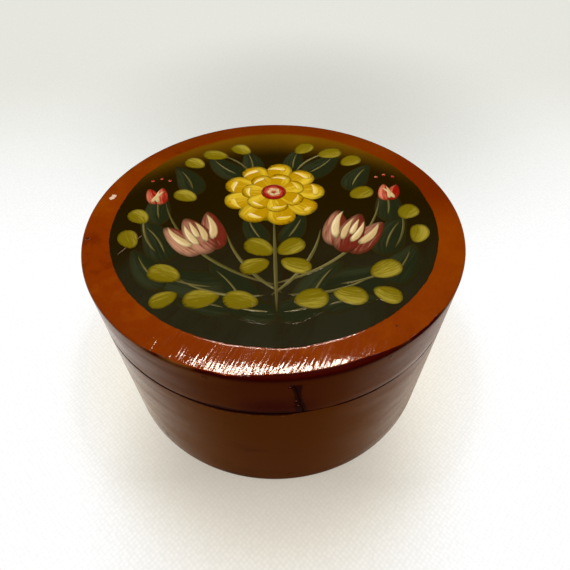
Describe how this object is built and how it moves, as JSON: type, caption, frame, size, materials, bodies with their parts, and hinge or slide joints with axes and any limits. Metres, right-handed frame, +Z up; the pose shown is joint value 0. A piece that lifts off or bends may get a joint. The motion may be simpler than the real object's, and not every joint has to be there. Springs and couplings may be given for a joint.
{
  "type": "round bentwood box",
  "caption": "Round painted bentwood box with a flat lid that lifts off an inner collar, for keeping small things.",
  "frame": {"origin": "middle of the circle that the box stands on, at the foot of the wall", "axes": "+Z up along the box's middle line, -Y towards the front, where the lid's lap ends, +X to the right"},
  "size_m": [0.19, 0.19, 0.106],
  "materials": {
    "side_paint": "glossy red-brown paint and varnish over bent wood",
    "lid_paint": "glossy hand-painted top: near-black middle with flowers inside a burnt orange border",
    "bare_wood": "bare planed wood, aged and waxed by use",
    "peg_wood": "wooden peg ends, painted over",
    "tack_iron": "small iron tacks, painted over and worn"
  },
  "bodies": {
    "box": {"base_board": "bare_wood", "body_hoop": "side_paint", "inner_collar": "bare_wood", "base_peg_1": "peg_wood", "base_peg_2": "peg_wood", "base_peg_3": "peg_wood", "base_peg_4": "peg_wood", "base_peg_5": "peg_wood", "base_peg_6": "peg_wood", "base_peg_7": "peg_wood", "base_peg_8": "peg_wood", "body_lap_tack_1": "tack_iron", "body_lap_tack_2": "tack_iron", "body_lap_tack_3": "tack_iron", "body_lap_tack_4": "tack_iron", "body_lap_tack_5": "tack_iron", "collar_tack_1": "tack_iron", "collar_tack_2": "tack_iron", "collar_tack_3": "tack_iron"},
    "lid": {"lid_hoop": "side_paint", "lid_board": "lid_paint", "lid_peg_1": "peg_wood", "lid_peg_2": "peg_wood", "lid_peg_3": "peg_wood", "lid_peg_4": "peg_wood", "lid_peg_5": "peg_wood", "lid_peg_6": "peg_wood", "lid_peg_7": "peg_wood", "lid_peg_8": "peg_wood", "lid_lap_tack_1": "tack_iron", "lid_lap_tack_2": "tack_iron", "lid_lap_tack_3": "tack_iron"}
  },
  "joints": [
    {"name": "lid_lift", "type": "slide", "parent": "box", "child": "lid", "axis": [0, 0, 1], "range_m": [0, 0.12]}
  ]
}
